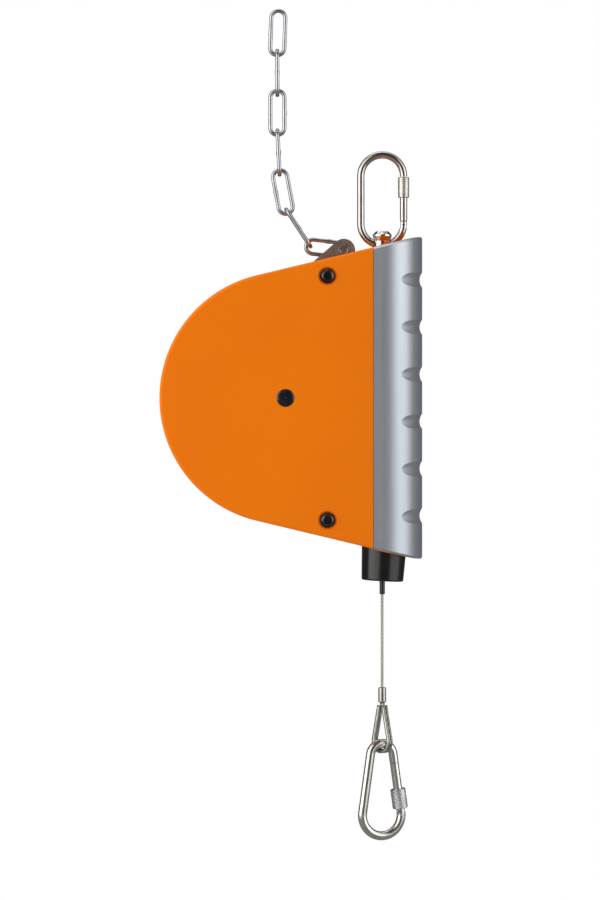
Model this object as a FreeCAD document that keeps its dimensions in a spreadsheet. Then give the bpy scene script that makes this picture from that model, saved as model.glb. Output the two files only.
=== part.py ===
"""Spring balancer for hand tools: a parametric assembly of separate pieces, in millimetres.

X points to the aluminium nose, Z up, and Y through the flat body. The origin is the inner crown
of the suspension link, the point that the whole balancer hangs from.
"""
import FreeCAD, Part
import math
import os
import re

import Sketcher

doc = FreeCAD.newDocument("tool_balancer")
sizes = doc.addObject("Spreadsheet::Sheet", "sizes")

SIZES = {
    # clearances
    "seat_gap": 0.3,  # between pieces that move against each other
    "running_gap": 0.05,  # radial, in a bearing or a pinned hinge
    # oval screw-lock link
    "link_wire": 5.0,
    "link_width": 34.1,
    "link_length": 66.5,
    "link_hinge_drop": 0.6,  # hinge pin below the lower bow's start
    "link_nut_width": 7.6,
    "link_nut_length": 14.0,
    "gate_pin": 1.7,
    "tongue_thick": 2.0,
    # swivel eye bolt
    "bolt_head_rise": 9.5,
    "bolt_head_width": 13.0,
    "bolt_face_width": 8.6,
    "bolt_neck_width": 11.2,
    "bolt_neck_drop": 9.0,
    "bolt_shank": 10.0,
    "eye_curve": 11.5,  # radius of the rounded mouth inside the eye
    # body
    "body_radius": 85.0,
    "body_depth": 70.0,
    "taper": 13.5,  # slope of the top and bottom edges, degrees
    "shell_wall": 2.8,
    "shell_round": 2.0,
    "shell_edge": 6.6,  # rope line to the shells' open edge
    "eye_lift": 0.54,  # swivel eye above the body's edge
    "rope_radius": 65.6,  # drum axis to the rope's centre
    "tongue_reach": 4.0,
    # aluminium nose profile
    "nose_reach": 27.2,
    "nose_flat": 6.0,
    "nose_corner": 24.9,
    "nose_wall": 3.5,
    "seam": 0.3,
    "end_chamfer": 1.3,
    "grip_pitch": 32.0,
    "grip_count": 6,
    "grip_radius": 8.3,
    "grip_depth": 1.8,
    "grip_reach": 14.8,
    # end caps
    "cap_gap": 0.25,
    "cap_proud": 0.4,
    "cap_thick": 12.15,
    "well_radius": 20.0,
    "well_depth": 4.3,  # below the link's lower wire centre
    # load path at the top
    "block_height": 14.0,
    "arm_thick": 3.0,
    "arm_inner": 12.0,
    "washer_thick": 2.0,
    "swivel_nut_width": 17.0,
    "swivel_nut_height": 9.0,
    # housing screws
    "screw_x": 28.3,
    "screw_inset": 11.96,  # below the body's edge
    "screw_shank": 6.0,
    "screw_head": 10.5,
    "screw_head_height": 3.3,
    "screw_recess": 1.4,
    "screw_recess_width": 12.6,
    "screw_hex": 4.0,
    "nut_width": 10.0,
    "nut_height": 5.0,
    "screw_boss": 20.0,
    # safety chain lug
    "lug_back": 39.5,  # drum axis to the lug's pin
    "lug_rise": 3.5,  # above the body's edge
    "lug_eye": 7.7,
    "lug_plate": 2.5,
    "lug_slope": 41.0,
    "lug_run": 22.4,
    "lug_tail": 7.0,
    "lug_pin_shank": 5.4,
    "lug_pin_head": 7.8,
    "lug_pin_head_height": 1.2,
    # chain
    "chain_wire": 2.8,
    "chain_inner": 27.3,
    "chain_width": 12.4,
    "chain_gap": 0.2,
    "chain_weld": 0.2,
    "lean_1": -83.6,
    "lean_2": -33.3,
    "lean_3": -10.7,
    "lean_4": -2.9,
    "lean_5": 0.0,
    "lean_6": -0.2,
    "lean_7": 1.9,
    # drum and spring
    "axle_width": 11.9,
    "axle_proud": 0.6,
    "boss_length": 7.2,
    "axle_boss": 22.0,
    "ring_width": 16.0,
    "ring_thick": 1.0,
    "bush_width": 16.0,
    "hub_width": 24.0,
    "rope_width": 2.0,
    "rope_pitch": 2.4,
    "rope_turns": 6,
    "flange_radius": 71.0,
    "flange_thick": 3.0,
    "barrel_land": 65.2,
    "cup_radius": 63.0,
    "chamber_radius": 56.0,
    "rim_room": 11.5,
    "web_thick": 4.0,
    "cover_thick": 2.2,
    "bush_length": 10.0,
    "arbor_width": 26.0,
    "key_width": 4.0,
    "strip_thick": 0.9,
    "strip_pitch": 4.0,
    "strip_turns": 10,
    "strip_room": 2.35,
    "cover_screw": 3.0,
    "cover_screw_circle": 59.5,
    "cover_screw_length": 7.0,
    "cover_screw_head": 1.6,
    # rope nozzle
    "nozzle_reach": 21.14,  # below the body's edge
    "nozzle_tilt": 3.0,
    "nozzle_taper": 2.4,
    "nozzle_mouth": 28.5,
    "nozzle_height": 25.0,
    "nozzle_neck": 20.0,
    "nozzle_bore": 3.4,
    "nozzle_throat": 12.0,
    "nozzle_nut_height": 5.0,
    # load line
    "stop_width": 3.7,
    "stop_length": 9.0,
    "rope_length": 72.5,
    "ferrule_width": 5.4,
    "ferrule_length": 10.3,
    "eye_length": 26.5,
    "thimble_turn": -45.0,
    "thimble_bow": 7.0,
    "thimble_half": 2.1,
    "thimble_sheet": 0.6,
    "thimble_lip": 1.0,
    "thimble_rise": 19.5,
    "rope_leg_offset": 1.1,
    # snap hook
    "hook_wire": 6.15,
    "hook_top_bow": 8.22,
    "hook_low_bow": 14.05,
    "hook_drop": 40.6,
    "hook_turn": 20.0,
    "hook_shift": 0.3,
    "hook_gap": 0.5,  # to the thimble
    "hook_nose": 6.3,
    "hook_hinge_drop": 2.0,
    "hook_gate": 6.0,
    "hook_nut_width": 10.4,
    "hook_nut_length": 13.5,
    "hook_nut_rest": 1.4,  # above the hinge's fork
    "nut_clearance": 0.1,
}

for row, (name, size) in enumerate(SIZES.items(), start=1):
    sizes.set(f"A{row}", name)
    sizes.set(f"B{row}", str(size))
    sizes.setAlias(f"B{row}", name)
doc.recompute()

WORKED_OUT = {}  # lengths that follow from the sizes, by name
NAMES = re.compile(r"\b(" + "|".join(SIZES) + r")\b")


def expand(expression):
    """Puts each worked-out length's own expression in its place."""
    before = None
    while before != expression:
        before = expression
        expression = re.sub(r"\b\w+\b", lambda m: WORKED_OUT.get(m.group(), m.group()), expression)
    return expression


def bind(expression):
    """An expression in the sheet's names, as the document's objects read it."""
    return NAMES.sub(r"sizes.\1", expand(expression))


def value(expression):
    """What an expression comes to now, in millimetres or degrees."""
    result = sizes.evalExpression(expand(expression))
    return float(getattr(result, "Value", result))


# ---------------------------------------------------------------- places in common

# oval link: centreline half width, bow centres and the lower wire's centre
link_half = "((link_width - link_wire) / 2)"
link_high = f"(link_wire / 2 - {link_half})"
pivot_drop = "(link_length - 1.5 * link_wire)"
link_low = f"({link_half} - {pivot_drop})"
link_hinge = f"({link_low} - link_hinge_drop)"

# body, measured from the drum's axis
half_depth = "(body_depth / 2)"
joint_x = "(rope_radius - shell_edge)"
nose_x = "(rope_radius + nose_reach)"
flat_x = f"({joint_x} + nose_flat)"
cap_start = f"({joint_x} + seam)"
lug_outer = "(chain_wire / 2 + 0.6 + lug_plate)"
lug_inner = "(chain_wire / 2 + 0.6)"


def edge_height(x, radius="body_radius"):
    """Height of the sloping edge above the drum's axis, at x."""
    return f"(({radius} + ({x}) * sin(taper)) / cos(taper))"


WORKED_OUT["drum_drop"] = f"({pivot_drop} + {edge_height('rope_radius')} + eye_lift)"
WORKED_OUT["cap_inner"] = f"({edge_height(cap_start)} - cap_thick)"
WORKED_OUT["screw_rise"] = f"({edge_height('screw_x')} - screw_inset)"
WORKED_OUT["lug_x"] = "(lug_back - rope_radius)"
WORKED_OUT["lug_z"] = f"({edge_height('lug_back')} + lug_rise - drum_drop)"
WORKED_OUT["lug_left"] = "(lug_x - lug_run)"
WORKED_OUT["lug_foot"] = "(screw_rise - drum_drop - lug_tail)"
WORKED_OUT["boss_face"] = f"({half_depth} - boss_length)"
WORKED_OUT["drum_rim"] = f"({half_depth} - rim_room)"
WORKED_OUT["nozzle_exit"] = f"(drum_drop + {edge_height('rope_radius')} + nozzle_reach)"
WORKED_OUT["ferrule_top"] = "(nozzle_exit + rope_length)"
WORKED_OUT["eye_drop"] = "(ferrule_top + ferrule_length + eye_length)"

# the nose's plan: a corner arc that runs into a flatter nose arc
corner_y = f"({half_depth} - nose_corner)"
nose_span = f"({nose_x} - {flat_x})"
nose_radius = (
    f"(({nose_span} ^ 2 + {half_depth} ^ 2 - 2 * {half_depth} * nose_corner)"
    f" / (2 * ({nose_span} - nose_corner)))"
)
nose_centre = f"({nose_x} - {nose_radius})"
blend_x = f"(({flat_x} - {nose_centre}) / ({nose_radius} - nose_corner))"
blend_y = f"({corner_y} / ({nose_radius} - nose_corner))"

DRUM = ("-rope_radius", "0", "-drum_drop")
pieces = []


def piece(label, place=("0", "0", "0"), axis=(0, 1, 0), turn="0", many=False):
    """A new named body; many lets it hold several like solids."""
    body = doc.addObject("PartDesign::Body", label)
    body.Label = label
    body.AllowCompound = many
    x, y, z = (bind(c) for c in place)
    spin = f"rotation(vector({axis[0]}; {axis[1]}; {axis[2]}); {bind(turn)})"
    body.setExpression("Placement", f"placement(vector({x}; {y}; {z}); {spin})")
    pieces.append(body)
    return body


def sketch_on(body, plane, at=("0", "0", "0"), axis=(0, 0, 1), turn="0"):
    """An empty sketch on one of the body's own planes, shifted and turned in that plane's frame."""
    sketch = body.newObject("Sketcher::SketchObject", f"{body.Name}_sketch")
    support = next(f for f in body.Origin.OriginFeatures if f.Role == plane)
    sketch.AttachmentSupport = [(support, "")]
    sketch.MapMode = "FlatFace"
    x, y, z = (bind(c) for c in at)
    spin = f"rotation(vector({axis[0]}; {axis[1]}; {axis[2]}); {bind(turn)})"
    sketch.setExpression("AttachmentOffset", f"placement(vector({x}; {y}; {z}); {spin})")
    return sketch


def constrain(sketch, ties):
    """Adds constraints; those given with an expression are bound to the sheet."""
    first = sketch.ConstraintCount
    made = []
    for kind, *rest in ties:
        if isinstance(rest[-1], str):
            made.append(Sketcher.Constraint(kind, *rest[:-1], value(rest[-1])))
        else:
            made.append(Sketcher.Constraint(kind, *rest))
    sketch.addConstraint(made)
    for index, (kind, *rest) in enumerate(ties, start=first):
        if isinstance(rest[-1], str):
            sketch.setExpression(f"Constraints[{index}]", bind(rest[-1]))


def draw(sketch, corners, closed=True):
    """Lines and arcs through the corners. A corner is (x, y), or (x, y, centre x, centre y, way)
    where an arc follows it: way is "left" when the arc turns left, "right" when it turns right."""
    points = [FreeCAD.Vector(value(c[0]), value(c[1])) for c in corners]
    count = len(corners) if closed else len(corners) - 1
    ends = []
    ties = []
    for i in range(count):
        here = points[i]
        there = points[(i + 1) % len(points)]
        if len(corners[i]) == 2:
            edge = sketch.addGeometry(Part.LineSegment(here, there))
            ends.append((edge, 1, 2))
            continue
        centre_x, centre_y, way = corners[i][2:]
        centre = FreeCAD.Vector(value(centre_x), value(centre_y))
        circle = Part.Circle(centre, FreeCAD.Vector(0, 0, 1), here.distanceToPoint(centre))
        first, last = (here, there) if way == "left" else (there, here)
        arc = Part.ArcOfCircle(circle, circle.parameter(first), circle.parameter(last))
        edge = sketch.addGeometry(arc)
        ends.append((edge, 1, 2) if way == "left" else (edge, 2, 1))
        chord = there - here
        if abs(chord.x) >= abs(chord.y):
            ties.append(("DistanceY", edge, 3, centre_y))
        else:
            ties.append(("DistanceX", edge, 3, centre_x))
    for i, (edge, start, end) in enumerate(ends):
        ties.append(("DistanceX", edge, start, corners[i][0]))
        ties.append(("DistanceY", edge, start, corners[i][1]))
        if closed or i:
            before, _, before_end = ends[i - 1]
            ties.append(("Coincident", before, before_end, edge, start))
    if not closed:
        edge, _, end = ends[-1]
        ties.append(("DistanceX", edge, end, corners[-1][0]))
        ties.append(("DistanceY", edge, end, corners[-1][1]))
    constrain(sketch, ties)
    return sketch


def circle(sketch, x, y, width):
    """A circle of the given diameter."""
    centre = FreeCAD.Vector(value(x), value(y))
    edge = sketch.addGeometry(Part.Circle(centre, FreeCAD.Vector(0, 0, 1), value(width) / 2))
    ties = [("DistanceX", edge, 3, x), ("DistanceY", edge, 3, y), ("Diameter", edge, width)]
    constrain(sketch, ties)
    return sketch


def hexagon(sketch, x, y, across):
    """A regular hexagon, given across its flats, with a corner on the right."""
    corners = []
    for i in range(6):
        reach = f"({across}) / sqrt(3)"
        corners.append((f"({x}) + {reach} * cos({60 * i})", f"({y}) + {reach} * sin({60 * i})"))
    return draw(sketch, corners)


def box(sketch, left, low, right, high):
    return draw(sketch, [(left, low), (right, low), (right, high), (left, high)])


def extrude(sketch, length, way=1, both=False, cut=False):
    """Pads a sketch, or cuts with it: way 1 is along the sketch's normal, -1 against it."""
    body = sketch.getParentGeoFeatureGroup()
    kind = "Pocket" if cut else "Pad"
    feature = body.newObject(f"PartDesign::{kind}", f"{body.Name}_{kind.lower()}")
    feature.Profile = sketch
    feature.setExpression("Length", bind(length))
    feature.SideType = "Symmetric" if both else "One side"
    feature.Reversed = (way > 0) if cut else (way < 0)
    return feature


def cut(sketch, length, way=-1, both=False):
    return extrude(sketch, length, way, both, cut=True)


def turn_round(sketch, axis="V_Axis", remove=False):
    """Revolves a sketch a full turn about one of its own axes."""
    body = sketch.getParentGeoFeatureGroup()
    kind = "Groove" if remove else "Revolution"
    feature = body.newObject(f"PartDesign::{kind}", f"{body.Name}_{kind.lower()}")
    feature.Profile = sketch
    feature.ReferenceAxis = (sketch, [axis])
    feature.Angle = 360
    return feature


def sweep(profile, spine):
    body = profile.getParentGeoFeatureGroup()
    feature = body.newObject("PartDesign::AdditivePipe", f"{body.Name}_pipe")
    feature.Profile = profile
    feature.Spine = spine
    return feature


def edges_where(feature, test):
    """Names of a feature's edges whose ends and middle all pass the test."""
    doc.recompute()
    names = []
    for index, edge in enumerate(feature.Shape.Edges, start=1):
        middle = edge.valueAt((edge.FirstParameter + edge.LastParameter) / 2)
        if all(test(p) for p in [v.Point for v in edge.Vertexes] + [middle]):
            names.append(f"Edge{index}")
    return names


def dress(feature, kind, amount, test):
    """Fillets or chamfers the edges that pass the test."""
    body = feature.getParentGeoFeatureGroup()
    names = edges_where(feature, test)
    dressed = body.newObject(f"PartDesign::{kind}", f"{body.Name}_{kind.lower()}")
    dressed.Base = (feature, names)
    dressed.setExpression("Radius" if kind == "Fillet" else "Size", bind(amount))
    return dressed


def near(a, b):
    return abs(a - b) < 1e-4


# ---------------------------------------------------------------- wire work


def bent_wire(body, path, wire, lean="0", closed=False):
    """Sweeps a round wire along a path in the body's XZ plane; lean is the first run's slope."""
    x, z = path[0][:2]
    spine = draw(sketch_on(body, "XZ_Plane"), path, closed)
    profile = sketch_on(body, "XY_Plane", (x, "0", z), (0, 1, 0), lean)
    circle(profile, "0", "0", wire)
    return sweep(profile, spine)


def knuckle(body, x, z, turn, wire):
    """Makes the end of a wire frame into a slotted, rounded hinge fork about (x, z)."""
    wide = f"({wire} / 2 + 1)"
    rim = f"({wire} / 2)"
    rounded = sketch_on(body, "XZ_Plane", (x, z, "0"), (0, 0, 1), turn)
    corners = [(f"-{wide}", "0"), (f"-{rim}", "0", "0", "0", "right"), (rim, "0"), (wide, "0")]
    corners += [(wide, f"{wire} + 2"), (f"-{wide}", f"{wire} + 2")]
    cut(draw(rounded, corners), f"2 * {wire}", both=True)
    slot = sketch_on(body, "XZ_Plane", (x, z, "0"), (0, 0, 1), turn)
    box(slot, f"-{wide}", f"-{rim} - 0.2", wide, f"{wire} + 2")
    cut(slot, "tongue_thick + 2 * seat_gap", both=True)
    hole = sketch_on(body, "XZ_Plane", (x, z, "0"))
    cut(circle(hole, "0", "0", "gate_pin + 2 * running_gap"), f"2 * {wire}", both=True)


def gate(label, place, turn, wire, rod, length):
    """A round gate with a flat tongue about its own hinge, which is the body's origin."""
    body = piece(label, place[0], place[1], turn)
    shoulder = f"({wire} / 2 + seat_gap)"
    rod_sketch = sketch_on(body, "XY_Plane", ("0", "0", shoulder))
    circle(rod_sketch, "0", "0", rod)
    extrude(rod_sketch, f"{length} - {shoulder}")
    side = f"({wire} / 2 - 0.3)"
    tongue = sketch_on(body, "XZ_Plane")
    corners = [(f"-{side}", "0", "0", "0", "left"), (side, "0")]
    corners += [(side, f"{shoulder} + 0.5"), (f"-{side}", f"{shoulder} + 0.5")]
    extrude(draw(tongue, corners), "tongue_thick", both=True)
    hole = sketch_on(body, "XZ_Plane")
    cut(circle(hole, "0", "0", "gate_pin + 2 * running_gap"), f"2 * {wire}", both=True)
    return body


def hinge_pin(label, place, wire):
    body = piece(label, place)
    pin = sketch_on(body, "XZ_Plane")
    extrude(circle(pin, "0", "0", "gate_pin"), f"{wire} - 0.4", both=True)
    return body


def sleeve(label, place, turn, start, length, width, bore):
    """A screw sleeve with bevelled rims that runs along a gate."""
    body = piece(label, place[0], place[1], turn)
    outer = f"({width} / 2)"
    inner = f"({bore} / 2)"
    end = f"({start} + {length})"
    profile = sketch_on(body, "XZ_Plane")
    corners = [(inner, start), (f"{outer} - 0.5", start), (outer, f"{start} + 0.5")]
    corners += [(outer, f"{end} - 0.5"), (f"{outer} - 0.5", end), (inner, end)]
    turn_round(draw(profile, corners))
    return body


def suspension_link():
    body = piece("suspension_link")
    stub = f"({link_hinge} + link_wire / 2 + 0.4)"
    path = [(link_half, stub), (link_half, link_low, "0", link_low, "right")]
    path += [(f"-{link_half}", link_low), (f"-{link_half}", link_high, "0", link_high, "right")]
    path += [(link_half, link_high)]
    bent_wire(body, path, "link_wire")
    knuckle(body, link_half, link_hinge, "0", "link_wire")

    place = ((link_half, "0", link_hinge), (0, 1, 0))
    length = f"({link_high} - {link_hinge} - 1.3 * seat_gap)"
    gate("link_gate", place, "0", "link_wire", "link_wire", length)
    hinge_pin("link_gate_pin", place[0], "link_wire")
    start = f"({length} - link_nut_length - 0.2)"
    bore = "(link_wire + 2 * nut_clearance)"
    sleeve("link_sleeve", place, "0", start, "link_nut_length", "link_nut_width", bore)


def chain_link(number, centre, flat):
    """One welded oval link; flat links lie in the XZ plane, the others stand across it."""
    plane = "XZ_Plane" if flat else "YZ_Plane"
    body = piece(f"chain_link_{number}", centre, (0, 1, 0), f"lean_{number}")
    half = "((chain_width - chain_wire) / 2)"
    straight = f"((chain_inner - chain_width) / 2 + chain_wire)"
    path = [(half, f"-{straight}"), (half, straight, "0", straight, "left")]
    path += [(f"-{half}", straight), (f"-{half}", f"-{straight}", "0", f"-{straight}", "left")]
    spine = draw(sketch_on(body, plane), path)
    across = (half, "0") if flat else ("0", half)
    profile = sketch_on(body, "XY_Plane", ("0", "0", f"-{straight}"))
    circle(profile, across[0], across[1], "chain_wire")
    sweep(profile, spine)
    side = "" if number % 4 < 2 else "-"
    weld = sketch_on(body, "XY_Plane")
    circle(weld, side + across[0], side + across[1], "chain_wire + 2 * chain_weld")
    extrude(weld, "1.2 * chain_wire", both=True)


def chain():
    """Seven links, each hung on the one before; a pivot is the centre of a cross link's wire."""
    x, z = "lug_x", "lug_z"
    for number in range(1, 8):
        lean = f"lean_{number}"
        flat = number % 2 == 1
        near_gap = "(lug_pin_shank / 2 + chain_gap)" if number == 1 else "(chain_wire / 2 + chain_gap)"
        step = f"(chain_inner - {near_gap} - chain_wire / 2 - chain_gap)"
        reach = f"(chain_inner / 2 - {near_gap})" if flat else "((chain_inner + chain_wire) / 2)"
        step = step if flat else "(chain_inner + chain_wire)"
        centre = (f"{x} + {reach} * sin({lean})", "0", f"{z} + {reach} * cos({lean})")
        chain_link(number, centre, flat)
        x = f"({x} + {step} * sin({lean}))"
        z = f"({z} + {step} * cos({lean}))"


# ---------------------------------------------------------------- swivel


def swivel():
    place = ("0", "0", f"-{pivot_drop}")
    block_top = f"({pivot_drop} - drum_drop + cap_inner - seat_gap)"
    block_low = f"({block_top} - block_height)"
    nut_top = f"({block_low} - washer_thick - 2 * seat_gap)"
    nut_low = f"({nut_top} - swivel_nut_height)"

    bolt = piece("swivel_bolt", place)
    neck = "(bolt_neck_width / 2)"
    head = "(bolt_head_width / 2)"
    rise = "bolt_head_rise"
    corners = [("0", rise), ("bolt_face_width / 2", rise), (head, f"{rise} - 2.2")]
    corners += [(head, f"{rise} - 3.2"), (neck, f"{rise} - 6.5"), (neck, "-bolt_neck_drop")]
    corners += [("bolt_shank / 2", "-bolt_neck_drop"), ("bolt_shank / 2", f"{nut_low} - 3")]
    corners += [("bolt_shank / 2 - 1", f"{nut_low} - 4"), ("0", f"{nut_low} - 4")]
    turn_round(draw(sketch_on(bolt, "XZ_Plane"), corners))
    eye = sketch_on(bolt, "XZ_Plane")
    waist = "(link_wire / 2 + seat_gap)"
    mouth = f"({waist} + eye_curve - sqrt(eye_curve ^ 2 - {head} ^ 2))"
    corners = [(f"-{head}", "0"), (head, "0")]
    corners += [(head, mouth, "0", f"{waist} + eye_curve", "right"), (f"-{head}", mouth)]
    turn_round(draw(eye, corners), "H_Axis", remove=True)
    cross = sketch_on(bolt, "XZ_Plane")
    circle(cross, "0", f"({nut_top} + {nut_low}) / 2 - 2", "2 + 2 * running_gap")
    cut(cross, "2 * bolt_head_width", both=True)

    washer = piece("thrust_washer", place)
    corners = [("bolt_shank / 2 + 0.1", f"{nut_top} + seat_gap"), ("9.5", f"{nut_top} + seat_gap")]
    corners += [("9.5", f"{block_low} - seat_gap"), ("bolt_shank / 2 + 0.1", f"{block_low} - seat_gap")]
    turn_round(draw(sketch_on(washer, "XZ_Plane"), corners))

    nut = piece("swivel_nut", place)
    plan = sketch_on(nut, "XY_Plane", ("0", "0", nut_low))
    hexagon(plan, "0", "0", "swivel_nut_width")
    extrude(plan, "swivel_nut_height")
    bore = sketch_on(nut, "XY_Plane", ("0", "0", nut_low))
    circle(bore, "0", "0", "bolt_shank + 2 * running_gap")
    cut(bore, "swivel_nut_height", way=1)
    slot = sketch_on(nut, "XZ_Plane")
    box(slot, "-1.3", f"{nut_low} - 1", "1.3", f"{nut_low} + 4")
    cut(slot, "2 * swivel_nut_width", both=True)

    pin = piece("nut_pin", place)
    rod = sketch_on(pin, "XZ_Plane")
    circle(rod, "0", f"({nut_top} + {nut_low}) / 2 - 2", "2")
    extrude(rod, "swivel_nut_width + 3", both=True)


# ---------------------------------------------------------------- housing


def d_shape(radius, right):
    """The body's outline: a round back and two edges that run out at the taper."""
    high = edge_height(right, radius)
    back = f"-{radius} * sin(taper)"
    shoulder = f"{radius} * cos(taper)"
    corners = [(right, high), (back, shoulder, "0", "0", "left")]
    return corners + [(back, f"-{shoulder}"), (right, f"-{high}")]


def shell(label, way):
    """Half of the housing; way is 1 for the front (towards -Y) and -1 for the rear."""
    body = piece(label, DRUM)

    def at(depth):
        return ("0", "0", f"{way} * ({depth})")

    solid = extrude(draw(sketch_on(body, "XZ_Plane"), d_shape("body_radius", joint_x)), half_depth, way)
    face = -way * value(half_depth)
    right = value(joint_x)
    rim = dress(
        solid,
        "Fillet",
        "shell_round",
        lambda p: near(p.y, face) and not (near(p.x, right) and abs(p.z) < value("body_radius")),
    )
    rim.Radius = value("shell_round")
    hollow = draw(
        sketch_on(body, "XZ_Plane"), d_shape("(body_radius - shell_wall)", f"({joint_x} + 2)")
    )
    cut(hollow, f"{half_depth} - shell_wall", way)

    # notch for the chain lug, and half of the nozzle's opening
    notch = sketch_on(body, "XZ_Plane")
    notch_left = "(rope_radius + lug_left - 1.5)"
    notch_right = "(rope_radius + lug_x + lug_eye + 1.5)"
    box(notch, notch_left, "body_radius - 12", notch_right, "body_radius + 30")
    cut(notch, f"{lug_outer} + lug_pin_head_height + seat_gap", way)
    opening = sketch_on(body, "XY_Plane", ("0", "0", f"drum_drop - nozzle_exit"))
    circle(opening, "rope_radius + 1.2", "0", "nozzle_mouth + 5.5")
    cut(opening, "nozzle_height + 6", way=1)

    # bosses for the two screws and the axle, and the lip under the profile
    for sign, start in (("", "arm_inner + arm_thick + seat_gap / 2"), ("-", "0.05")):
        boss = sketch_on(body, "XZ_Plane", at(start))
        circle(boss, "screw_x", f"{sign}screw_rise", "screw_boss")
        extrude(boss, f"{half_depth} - shell_wall / 2 - ({start})", way)
    boss = sketch_on(body, "XZ_Plane", at("boss_face"))
    circle(boss, "0", "0", "axle_boss")
    extrude(boss, f"{half_depth} - shell_wall / 2 - boss_face", way)
    lip = sketch_on(body, "XZ_Plane", at(f"{half_depth} - nose_wall - seam - 1.6"))
    lip_end = "(cap_inner - block_height - 3 * seat_gap)"
    box(lip, f"{joint_x} - 6", f"-{lip_end}", f"{joint_x} + tongue_reach", lip_end)
    extrude(lip, "nose_wall + seam + 1.6 - shell_wall / 2", way)
    relief = sketch_on(body, "XZ_Plane", at(f"{half_depth} - nose_wall - seam"))
    box(relief, joint_x, "-body_radius - 20", f"{nose_x}", "body_radius + 20")
    cut(relief, "nose_wall + 2", way)

    holes = sketch_on(body, "XZ_Plane")
    for sign in ("", "-"):
        circle(holes, "screw_x", f"{sign}screw_rise", "screw_shank + 0.6")
    circle(holes, "0", "0", "axle_width + 0.2")
    cut(holes, "body_depth", way)
    recess = sketch_on(body, "XZ_Plane", at(f"{half_depth} - screw_recess"))
    for sign in ("", "-"):
        circle(recess, "screw_x", f"{sign}screw_rise", "screw_recess_width")
    cut(recess, "screw_recess + 1", way)
    if way < 0:
        pocket = sketch_on(body, "XZ_Plane", at(f"{half_depth} - screw_recess - nut_height"))
        for sign in ("", "-"):
            hexagon(pocket, "screw_x", f"{sign}screw_rise", "nut_width + 0.4")
        cut(pocket, "nut_height + screw_recess + 1", way)


def nose_plan(inset, start):
    """The profile's outer plan, moved in by inset, from its front edge round to its rear edge."""
    side = f"({half_depth} - {inset})"
    nose = f"({nose_radius} - {inset})"
    join_x = f"({nose_centre} + {nose} * {blend_x})"
    join_y = f"({nose} * {blend_y})"
    front = [(start, f"-{side}"), (flat_x, f"-{side}", flat_x, f"-{corner_y}", "left")]
    front += [(join_x, f"-{join_y}", nose_centre, "0", "left")]
    rear = [(join_x, join_y, flat_x, corner_y, "left"), (flat_x, side), (start, side)]
    return front + rear


def cut_ends(body, lift, signs=("", "-")):
    """Trims an upright extrusion to the body's sloping edges, moved out by lift."""
    left = f"({joint_x} - 5)"
    right = f"({nose_x} + 5)"
    for sign in signs:
        wedge = sketch_on(body, "XZ_Plane")
        corners = [
            (left, f"{sign}({edge_height(left)} + {lift})"),
            (right, f"{sign}({edge_height(right)} + {lift})"),
            (right, f"{sign}(body_radius + 60)"),
            (left, f"{sign}(body_radius + 60)"),
        ]
        feature = cut(draw(wedge, corners), "2 * body_depth", both=True)
    return feature


def nose_profile():
    body = piece("nose_profile", DRUM)
    plan = sketch_on(body, "XY_Plane")
    draw(plan, nose_plan("0", cap_start) + reverse_plan(nose_plan("nose_wall", cap_start)))
    extrude(plan, "2 * body_radius + 60", both=True)
    ends = cut_ends(body, "0")
    slope = math.tan(math.radians(value("taper")))
    lift = value("body_radius") / math.cos(math.radians(value("taper")))
    corner = FreeCAD.Vector(value(flat_x), value(corner_y), 0)
    nose = FreeCAD.Vector(value(nose_centre), 0, 0)

    def on_rim(point):
        if not near(abs(point.z), lift + point.x * slope):
            return False
        plan_point = FreeCAD.Vector(point.x, abs(point.y), 0)
        if point.x <= corner.x + 1e-4:
            return near(plan_point.y, value(half_depth))
        on_corner = near(plan_point.distanceToPoint(corner), value("nose_corner"))
        return on_corner or near(plan_point.distanceToPoint(nose), value(nose_radius))

    dress(ends, "Chamfer", "end_chamfer", on_rim)

    # finger grooves: rings about an upright axis, so that each runs out on the flanks
    bottom = f"({nose_x} - grip_depth)"
    side_x = f"({nose_x} - grip_reach)"
    side_y = f"({corner_y} + sqrt(nose_corner ^ 2 - ({side_x} - {flat_x}) ^ 2))"
    axis_x = f"(({bottom} ^ 2 - {side_x} ^ 2 - {side_y} ^ 2) / (2 * ({bottom} - {side_x})))"
    rings = sketch_on(body, "XZ_Plane", (axis_x, "0", "0"))
    for index in range(round(value("grip_count"))):
        height = f"(({index} - (grip_count - 1) / 2) * grip_pitch)"
        circle(rings, f"{bottom} - {axis_x} + grip_radius", height, "2 * grip_radius")
    turn_round(rings, remove=True)


def reverse_plan(corners):
    """The same outline walked the other way, so that it can close a hollow section."""
    walked = []
    for index in range(len(corners) - 1, -1, -1):
        arc = corners[index - 1][2:] if index else ()
        if arc:
            arc = (arc[0], arc[1], "right" if arc[2] == "left" else "left")
        walked.append(tuple(corners[index][:2]) + tuple(arc))
    return walked


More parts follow.
